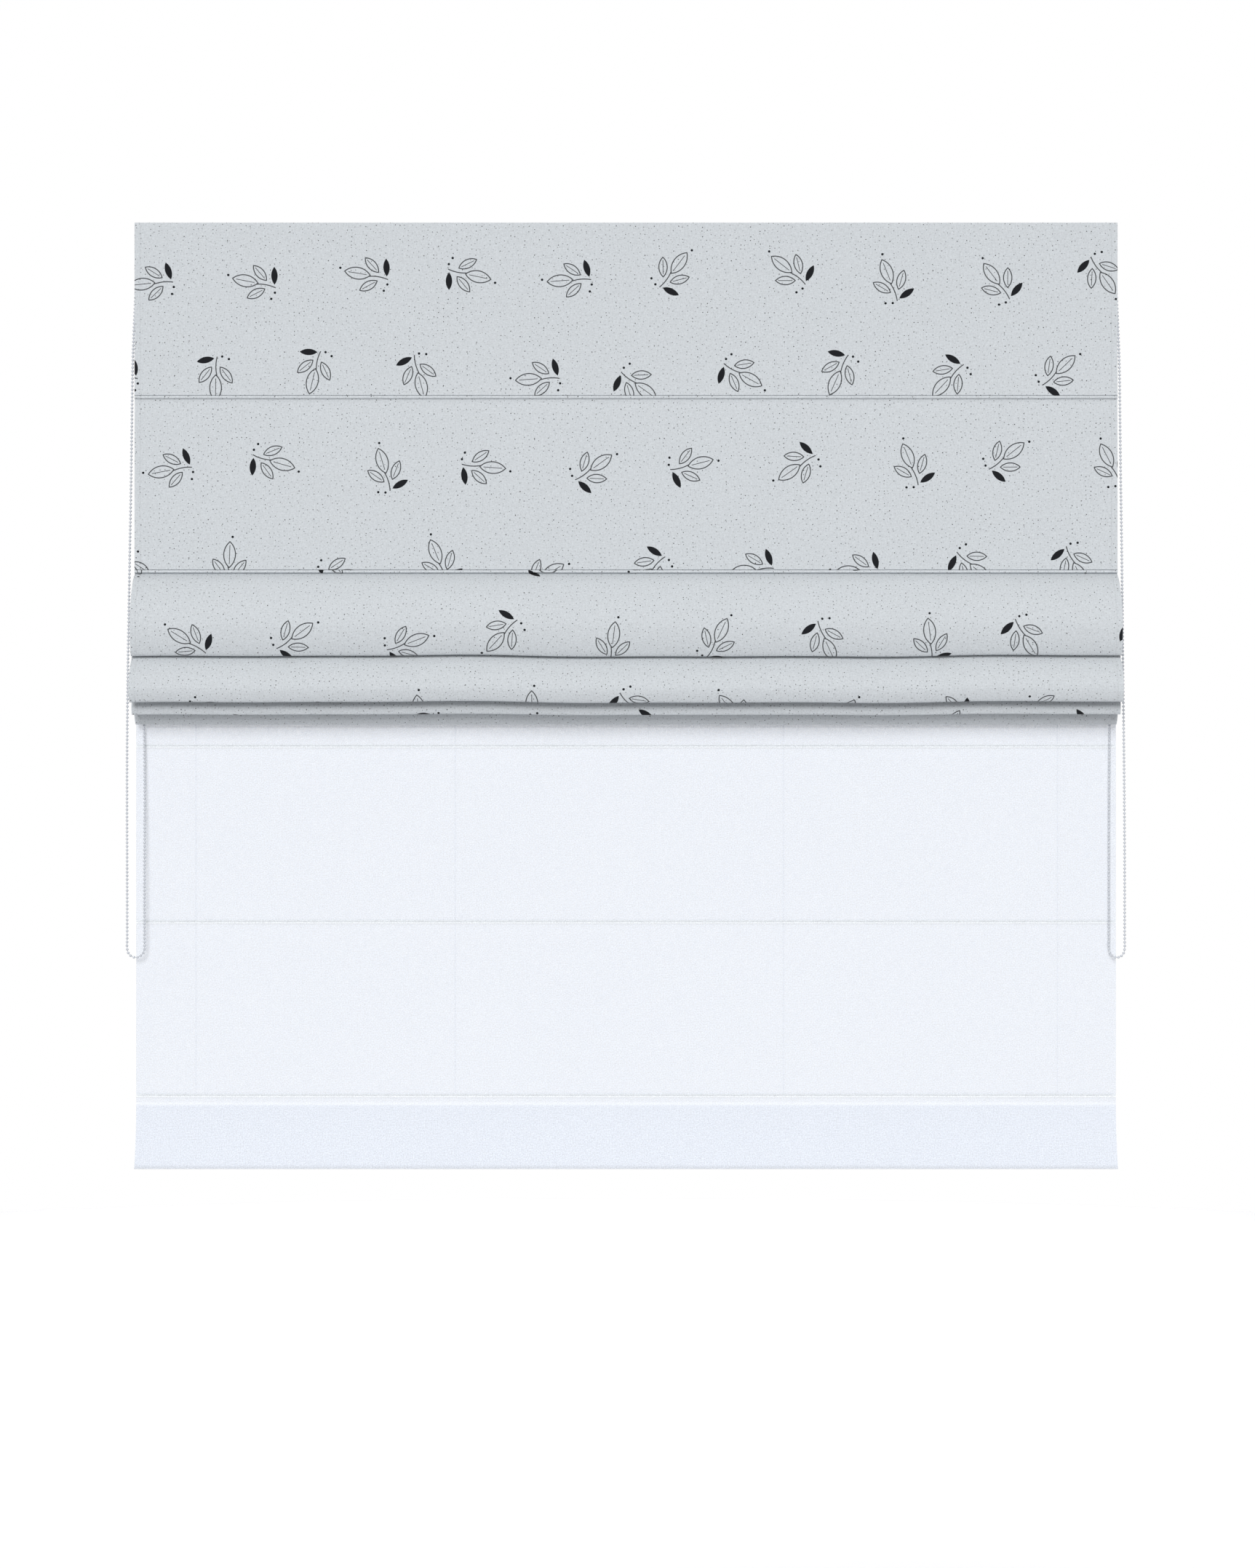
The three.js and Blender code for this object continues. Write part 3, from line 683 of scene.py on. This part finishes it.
def sprig_print(finish, across, down, spacing):
    """Ink of the print: one outlined sprig to a cell, in offset rows, each turned its own way.

    A sprig is three outlined leaves with midribs on a stem, a small solid leaf and three
    berries. Returns the share of line ink and of solid ink.
    """
    row = (down / spacing).math("FLOOR")
    offset_across = across / spacing + row * ROW_OFFSET
    column = offset_across.math("FLOOR")
    noise = finish.node(
        "ShaderNodeTexWhiteNoise", {"Vector": finish.vector(column, row, SPRIG_SEED)},
        output="Color", noise_dimensions="3D",
    )
    turn, slide, lift = finish.parts(noise)
    stray = spacing * SPRIG_STRAY
    from_middle = (offset_across - column - 0.5) * spacing - (slide - 0.5) * stray
    below_middle = (down / spacing - row - 0.5) * spacing - (lift - 0.5) * stray
    angle = turn * (2 * math.pi)
    along, aside = turned(from_middle, below_middle, angle.math("COSINE"), angle.math("SINE"))
    outlines = []
    for leaf in SPRIG_LEAVES:
        half_length, half_width = leaf["half"]
        lengthwise, sideways = leaf_place(along, aside, leaf)
        edge = abs(leaf_distance(lengthwise, sideways, half_length, half_width)).fall(*LINE_INK)
        rib_end = (abs(lengthwise) / half_length).fall(*RIB_END)
        outlines += [edge, abs(sideways).fall(*RIB_INK) * rib_end]
    stem_along = along - SPRIG_STEM["middle"]
    stem_end = abs(stem_along).fall(SPRIG_STEM["half_length"], SPRIG_STEM["half_length"] + STEM_FADE)
    stem_aside = aside + stem_along * stem_along * SPRIG_STEM["bend"]
    line = (abs(stem_aside).fall(*LINE_INK) * stem_end).most(*outlines)
    lengthwise, sideways = leaf_place(along, aside, SOLID_LEAF)
    solid = leaf_distance(lengthwise, sideways, *SOLID_LEAF["half"]).fall(*SOLID_INK)
    for berry_along, berry_aside in SPRIG_BERRIES:
        solid = solid.most(length_of(along - berry_along, aside - berry_aside).fall(*BERRY_INK))
    return line, solid


def printed_cloth(colours, sizes):
    """Finish of the front cloth: matt weave, small speckle everywhere and the sprig print."""
    finish = Finish("printed_cloth")
    across, down, side = finish.parts(finish.cloth_place())
    printed = side.rise(*PRINTED_SIDE)
    line, solid = sprig_print(finish, across, down, sizes.sprig_spacing)
    speck = finish.node(
        "ShaderNodeTexVoronoi", {"Vector": finish.vector(across, down), "Scale": SPECKLE["cells"]},
        output="Distance", voronoi_dimensions="2D",
    )
    depth, reach, _ = finish.parts(Value(finish.tree, speck.socket.node.outputs["Color"]))
    dot = (speck / (reach * 0.4 + 0.7)).fall(*SPECKLE["ink"]) * (depth**2 * 0.95 + 0.18)
    weave = plain_weave(across, down, sizes.thread_pitch)
    threads = uneven_threads(finish, across, down, 700.0, 0.6)
    slub = finish.noise(finish.vector(across, down), 340.0, 3.0, 0.85) * 0.6 + threads * 0.4
    cloud = finish.noise(finish.vector(across, down), 9.0, 3.0, 0.55)
    stitch_line = abs(abs(across) - (sizes.cloth_width / 2 - SIDE_STITCH)).fall(*STITCH_GROOVE)
    # The side stitching darkens the colour along its groove as painted shade, besides its bump
    shade = 0.975 + weave * 0.03 + (slub - 0.5) * 1.0 + (cloud - 0.5) * 0.03 - stitch_line * 0.04
    ground = finish.tint(tuple(colours.cloth), shade)
    grey = tuple(0.12 * c for c in colours.cloth)
    specked = finish.mix(dot * printed, ground, grey)
    lined = finish.mix(line * printed * (0.84 + slub * 0.15), specked, tuple(colours.ink))
    inked = finish.mix(solid * printed, lined, tuple(colours.ink))
    height = weave * 0.8 + threads * 1.4 + slub * 0.9 - stitch_line
    return finish.surface({
        "Base Color": inked,
        "Roughness": 0.86 - solid * printed * 0.12,
        "Sheen Weight": 0.04,
        "Sheen Roughness": 0.5,
        "Specular IOR Level": 0.15,
        "Normal": finish.bump(height, 0.0003, 0.9),
    })


def sheer_voile(colours, sizes):
    """Finish of the sheer: fine uneven threads that let part of the light straight through."""
    finish = Finish("sheer_voile")
    across, down, _ = finish.parts(finish.cloth_place())
    weave = plain_weave(across, down, sizes.thread_pitch * 0.55)
    grain = finish.noise(finish.vector(across, down), 420.0, 2.0, 0.65)
    threads = uneven_threads(finish, across, down, 520.0, 0.5)
    cloud = finish.noise(finish.vector(across, down), 5.0, 2.0, 0.5)
    cover = (
        colours.sheer_cover + (grain - 0.5) * 0.70 + (threads - 0.5) * 0.50
        + (weave - 0.5) * 0.08 + (cloud - 0.5) * 0.05
    )
    _, _, height = finish.parts(finish.object_place())

    def above(drop):
        """Height above the place that is this far below the cloth's top."""
        return height + (drop - CLOTH_TOP) * MM

    # Painted highlight, partly real: the seam band is mixed towards near white for the denser doubled cloth
    # and to paint over the shade in the seam's recess
    first, *others = [
        abs(above(pocket["drop"] + SHEER_SEAM["below"])).fall(*SHEER_SEAM["band"])
        for pocket in SHEER_POCKETS
    ]
    seam_density_and_highlight = first.most(*others)
    # Painted shade: the last few millimetres above the bottom edge are darkened, standing in for the shade
    # along the hem's bottom fold
    bottom = above(SHEER_HEM["bottom"]).fall(0.001, 0.007)
    # Painted light: the hem is made lighter to make up for the shade that its forward kick gets
    hem = above(SHEER_HEM["top"]).fall(-0.001, 0.001)
    shade = 0.97 + (grain - 0.5) * 0.24 + hem * 0.08 - bottom * 0.12
    cloth = finish.tint(tuple(colours.sheer), shade)
    return finish.surface({
        "Base Color": finish.mix(seam_density_and_highlight, cloth, SHEER_SEAM["colour"]),
        "Roughness": 0.8,
        "Sheen Weight": 0.15,
        "Specular IOR Level": 0.2,
        "Alpha": cover.math("ADD", 0.0, clamp=True),
        "Normal": finish.bump(weave * 0.5 + grain, 0.0001, 0.7),
    })


def bead_plastic(colours):
    """Finish of the bead chain: glossy white plastic with faint moulding clouds."""
    finish = Finish("bead_plastic")
    place = finish.object_place()
    cloud = finish.noise(place, 700.0, 2.0, 0.5)
    return finish.surface({
        "Base Color": finish.tint(tuple(colours.bead), 0.96 + cloud * 0.06),
        "Roughness": 0.24 + cloud * 0.14,
        "Coat Weight": 0.2,
        "Normal": finish.bump(cloud, 0.00003, 0.4),
    })


def braided_cord(colours):
    """Finish of the lift cords: a fine braid of slanting strands along the cord."""
    finish = Finish("braided_cord")
    x, _, z = finish.parts(finish.object_place())
    rising = abs(((z / BRAID["along"] + x / BRAID["across"]) * math.pi).math("SINE"))
    falling = abs(((z / BRAID["along"] - x / BRAID["across"]) * math.pi).math("SINE"))
    strands = rising.most(falling)
    return finish.surface({
        "Base Color": finish.tint(tuple(colours.cord), 0.84 + strands * 0.16),
        "Roughness": 0.72,
        "Sheen Weight": 0.2,
        "Normal": finish.bump(strands, 0.0001, 0.8),
    })


def rod_resin(colours):
    """Finish of the rods: white resin with fine fibres running along the rod."""
    finish = Finish("rod_resin")
    x, y, z = finish.parts(finish.object_place())
    fibres = finish.noise(finish.vector(x * 0.02, y, z), 4200.0, 2.0, 0.6)
    return finish.surface({
        "Base Color": finish.tint(tuple(colours.rod), 0.90 + fibres * 0.12),
        "Roughness": 0.34 + fibres * 0.16,
        "Coat Weight": 0.15,
        "Normal": finish.bump(fibres, 0.00004, 0.5),
    })


def rail_aluminium(colours):
    """Finish of the rails: satin aluminium with drawing lines along the extrusion."""
    finish = Finish("rail_aluminium")
    x, y, z = finish.parts(finish.object_place())
    lines = finish.noise(finish.vector(x * 0.008, y, z), 2600.0, 3.0, 0.65)
    cloud = finish.noise(finish.vector(x * 0.2, y, z), 60.0, 2.0, 0.5)
    return finish.surface({
        "Base Color": finish.tint(tuple(colours.rail), 0.92 + lines * 0.10),
        "Metallic": 1.0,
        "Roughness": 0.30 + lines * 0.16 + cloud * 0.08,
        "Normal": finish.bump(lines, 0.00003, 0.5),
    })


def housing_plastic(colours):
    """Finish of the end housings: moulded plastic with a fine spark texture."""
    finish = Finish("housing_plastic")
    place = finish.object_place()
    spark = finish.noise(place, 1500.0, 2.0, 0.6)
    cloud = finish.noise(place, 90.0, 2.0, 0.5)
    return finish.surface({
        "Base Color": finish.tint(tuple(colours.plastic), 0.96 + (spark - 0.5) * 0.05 + (cloud - 0.5) * 0.04),
        "Roughness": 0.46 + spark * 0.14,
        "Normal": finish.bump(spark, 0.00008, 0.6),
    })


def bracket_enamel(colours):
    """Finish of the brackets: white powder coat with its faint orange-peel."""
    finish = Finish("bracket_enamel")
    place = finish.object_place()
    peel = finish.noise(place, 520.0, 2.0, 0.45)
    fine = finish.noise(place, 2400.0, 1.0, 0.5)
    return finish.surface({
        "Base Color": finish.tint(tuple(colours.enamel), 0.97 + (peel - 0.5) * 0.04),
        "Roughness": 0.38 + peel * 0.12,
        "Coat Weight": 0.1,
        "Normal": finish.bump(peel + fine * 0.3, 0.0001, 0.5),
    })


def screw_steel(colours):
    """Finish of the screws: zinc-plated steel with a slight cloud in shade and gloss."""
    finish = Finish("screw_steel")
    place = finish.object_place()
    cloud = finish.noise(place, 900.0, 3.0, 0.6)
    return finish.surface({
        "Base Color": finish.tint(tuple(colours.screw), 0.90 + cloud * 0.20),
        "Metallic": 1.0,
        "Roughness": 0.26 + cloud * 0.22,
        "Normal": finish.bump(cloud, 0.00005, 0.5),
    })


def floor_paint(colours):
    """Finish of the studio floor: pale, matt, with a barely visible cloud."""
    finish = Finish("studio_floor")
    cloud = finish.noise(finish.object_place(), 0.8, 2.0, 0.5)
    return finish.surface({
        "Base Color": finish.tint(tuple(colours.floor), 0.99 + cloud * 0.02),
        "Roughness": 0.9,
    })


def studio_world():
    """Surroundings: white to look at, and as light dim in front of the blind, brighter behind it."""
    world = bpy.data.worlds.new("studio_world")
    world.use_nodes = True
    tree = world.node_tree
    tree.nodes.clear()
    direction = add_node(tree, "ShaderNodeTexCoord", output="Generated")
    backward = add_node(tree, "ShaderNodeSeparateXYZ", {0: direction}, output="Y")
    seen = add_node(tree, "ShaderNodeLightPath", output="Is Camera Ray")
    dim = AMBIENT["front"] + backward.rise(*AMBIENT["turn"]) * (AMBIENT["back"] - AMBIENT["front"])
    strength = seen + (1 - seen) * dim
    background = add_node(tree, "ShaderNodeBackground", {"Strength": strength, "Color": (1, 1, 1, 1)})
    add_node(tree, "ShaderNodeOutputWorld", {"Surface": background})
    return world


def add_light(name, kind, energy):
    """A light of a kind at the origin, shining straight down."""
    data = bpy.data.lights.new(name, kind)
    data.energy = energy
    lamp = bpy.data.objects.new(name, data)
    bpy.context.scene.collection.objects.link(lamp)
    return lamp


def dress_nodes(material, *starts):
    """Puts a material on every CAD node whose name begins with one of starts."""
    nodes = [node for name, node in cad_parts.items() if name.startswith(starts)]
    if not nodes:
        raise RuntimeError(f"no node is named {starts}")
    for node in nodes:
        node.data.materials.clear()
        node.data.materials.append(material)


def bead_arrays(centres, radius):
    """Points and faces of a row of beads, each a sphere: rings at even angles from pole to pole."""
    polar = np.linspace(0, np.pi, BEAD_RINGS + 1)[1:-1]
    turn = np.arange(BEAD_SIDES) * 2 * np.pi / BEAD_SIDES
    ring = np.stack([
        np.outer(np.sin(polar), np.cos(turn)), np.outer(np.sin(polar), np.sin(turn)),
        np.outer(np.cos(polar), np.ones(BEAD_SIDES)),
    ], axis=2).reshape(-1, 3)
    ball = np.vstack([[0, 0, 1], ring, [0, 0, -1]]) * radius
    index = 1 + np.arange(len(ring)).reshape(len(polar), BEAD_SIDES)
    after = np.roll(index, -1, axis=1)
    quads = np.stack([index[:-1], index[1:], after[1:], after[:-1]], axis=-1).reshape(-1, 4)
    top = np.stack([np.zeros(BEAD_SIDES, int), index[0], after[0]], axis=1)
    bottom = np.stack([np.full(BEAD_SIDES, len(ball) - 1), after[-1], index[-1]], axis=1)
    first = np.arange(len(centres))[:, None, None] * len(ball)
    points = (centres[:, None, :] + ball[None]).reshape(-1, 3)
    return points, [(first + quads).reshape(-1, 4), (first + np.vstack([top, bottom])).reshape(-1, 3)]


def string_arrays(path, radius):
    """Points and faces of a string: a circle carried along the path, square to it, closed at its ends."""
    tangent = np.gradient(path, axis=0)
    tangent /= np.linalg.norm(tangent, axis=1, keepdims=True)
    side = np.cross(tangent, STRING_SIDEWAYS)
    side /= np.linalg.norm(side, axis=1, keepdims=True)
    other = np.cross(tangent, side)
    angle = np.arange(STRING_SIDES)[None, :, None] * 2 * np.pi / STRING_SIDES
    tube = path[:, None, :] + radius * (np.cos(angle) * side[:, None, :] + np.sin(angle) * other[:, None, :])
    index = np.arange(len(path) * STRING_SIDES).reshape(len(path), STRING_SIDES)
    after = np.roll(index, -1, axis=1)
    walls = np.stack([index[:-1], after[:-1], after[1:], index[1:]], axis=-1).reshape(-1, 4)
    return tube.reshape(-1, 3), [walls, np.stack([index[0][::-1], index[-1]])]


class BLIND_OT_camera(bpy.types.Operator):
    """Places the camera in front of the blind, level, a little below its middle."""

    bl_idname = "blind.camera"
    bl_label = "Camera"

    def execute(self, context):
        data = bpy.data.cameras.new("blind_camera")
        data.lens = CAMERA["lens"]
        data.sensor_width = CAMERA["sensor"]
        data.clip_end = CAMERA["clip"]
        camera = bpy.data.objects.new("blind_camera", data)
        camera.location = CAMERA["place"]
        camera.rotation_euler = (math.radians(90), 0, 0)
        context.scene.collection.objects.link(camera)
        context.scene.camera = camera
        return {"FINISHED"}


class BLIND_OT_chains(bpy.types.Operator):
    """Makes the bead chain at each end: beads at an even pitch on a string, one loop a side."""

    bl_idname = "blind.chains"
    bl_label = "Bead chains"

    def execute(self, context):
        sizes = context.scene.blind_sizes
        material = bead_plastic(context.scene.blind_colours)
        for side, route in CHAIN_ROUTES.items():
            path = smooth_curve(np.array(route) * MM, SPAN_POINTS["chain"], spacing=0.5, extend=True)
            path = evenly(path, STRING_STEP)
            beads, bead_faces = bead_arrays(evenly(path, sizes.bead_pitch)[1:-1], sizes.bead_diameter / 2)
            string, string_faces = string_arrays(path, sizes.string_diameter / 2)
            points = np.vstack([beads, string])
            faces = bead_faces + [len(beads) + block for block in string_faces]
            chain = make_piece(f"bead_chain_{side}", points, faces, material)
            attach(chain, BODY)
            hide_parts(f"chain_{side}")
        return {"FINISHED"}


class BLIND_OT_front_cloth(bpy.types.Operator):
    """Makes the printed front cloth with its panels, pockets, raised folds and hem."""

    bl_idname = "blind.front_cloth"
    bl_label = "Front cloth"

    def execute(self, context):
        sizes = context.scene.blind_sizes
        thickness = sizes.cloth_thickness / MM
        section = cloth_section(thickness)
        points, faces, places = sheet_arrays(
            section, sizes.cloth_width / MM, thickness, CLOTH_PLANE, CLOTH_COLUMNS, FOLD_WAVES
        )
        material = printed_cloth(context.scene.blind_colours, sizes)
        cloth = make_piece("printed_front_cloth", points, faces, material, places)
        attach(cloth, BODY)
        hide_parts("front_cloth")
        return {"FINISHED"}


class BLIND_OT_sheer(bpy.types.Operator):
    """Makes the sheer with its pockets and the double hem that kicks forward."""

    bl_idname = "blind.sheer"
    bl_label = "Sheer"

    def execute(self, context):
        sizes = context.scene.blind_sizes
        thickness = sizes.sheer_thickness / MM
        section = sheer_section(thickness)
        points, faces, places = sheet_arrays(
            section, sizes.sheer_width / MM, thickness, SHEER_PLANE, SHEER_COLUMNS, []
        )
        material = sheer_voile(context.scene.blind_colours, sizes)
        sheer = make_piece("sheer_voile", points, faces, material, places)
        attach(sheer, BODY)
        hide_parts("sheer_cloth")
        return {"FINISHED"}


class BLIND_OT_hardware(bpy.types.Operator):
    """Gives the rails, housings, brackets, screws, rods and lift cords their finishes."""

    bl_idname = "blind.hardware"
    bl_label = "Rails, housings, brackets, rods and cords"

    def execute(self, context):
        colours = context.scene.blind_colours
        dress_nodes(rail_aluminium(colours), "front_rail", "rear_rail")
        dress_nodes(housing_plastic(colours), "end_housing")
        dress_nodes(bracket_enamel(colours), "bracket")
        dress_nodes(screw_steel(colours), "rail_screw")
        dress_nodes(rod_resin(colours), "front_rod", "sheer_rod")
        dress_nodes(braided_cord(colours), "front_lift_cord", "sheer_lift_cord")
        return {"FINISHED"}


class BLIND_OT_stage(bpy.types.Operator):
    """Makes the pale floor, the pale surroundings, the key light and the floor light."""

    bl_idname = "blind.stage"
    bl_label = "Stage"

    def execute(self, context):
        colours = context.scene.blind_colours
        angle = np.arange(FLOOR["sides"]) * 2 * np.pi / FLOOR["sides"]
        rim = np.stack([
            FLOOR["radius"] * np.cos(angle), FLOOR["radius"] * np.sin(angle),
            np.full_like(angle, FLOOR["height"]),
        ], axis=1)
        floor = make_piece("studio_floor", rim, [np.arange(len(rim))[None]], floor_paint(colours))
        context.scene.world = studio_world()
        key = add_light("key_light", "SUN", KEY_LIGHT["strength"])
        key.data.angle = math.radians(KEY_LIGHT["spread"])
        key.rotation_euler = (math.radians(90 - KEY_LIGHT["height"]), 0, -math.radians(KEY_LIGHT["left"]))
        wash = add_light("floor_light", "AREA", FLOOR_LIGHT["power"])
        wash.data.shape = "DISK"
        wash.data.size = FLOOR_LIGHT["size"]
        wash.location = FLOOR_LIGHT["place"]
        wash.visible_camera = False
        context.scene.view_settings.view_transform = "Standard"
        return {"FINISHED"}


class BLIND_PT_panel(bpy.types.Panel):
    """Lists the blind's sizes, colours and the steps that make it."""

    bl_idname = "BLIND_PT_panel"
    bl_label = "Double roman blind"
    bl_space_type = "VIEW_3D"
    bl_region_type = "UI"
    bl_category = "Blind"

    def draw(self, context):
        for group in (context.scene.blind_sizes, context.scene.blind_colours):
            for name in group.__annotations__:
                self.layout.prop(group, name)
        for step in STEPS:
            self.layout.operator(step.bl_idname)


STEPS = [
    BLIND_OT_camera, BLIND_OT_chains, BLIND_OT_front_cloth, BLIND_OT_sheer, BLIND_OT_hardware,
    BLIND_OT_stage,
]
CLASSES = [BlindSizes, BlindColours, *STEPS, BLIND_PT_panel]


def register():
    """Makes the settings, steps and panel known, and puts the settings on the scene."""
    for item in CLASSES:
        bpy.utils.register_class(item)
    bpy.types.Scene.blind_sizes = bpy.props.PointerProperty(type=BlindSizes)
    bpy.types.Scene.blind_colours = bpy.props.PointerProperty(type=BlindColours)


def unregister():
    """Takes the settings off the scene and undoes what register did."""
    del bpy.types.Scene.blind_sizes
    del bpy.types.Scene.blind_colours
    for item in reversed(CLASSES):
        bpy.utils.unregister_class(item)


def main():
    """Makes the whole blind and its stage."""
    register()
    bpy.ops.blind.camera()
    bpy.ops.blind.chains()
    bpy.ops.blind.front_cloth()
    bpy.ops.blind.sheer()
    bpy.ops.blind.hardware()
    bpy.ops.blind.stage()


if __name__ == "__main__":
    main()
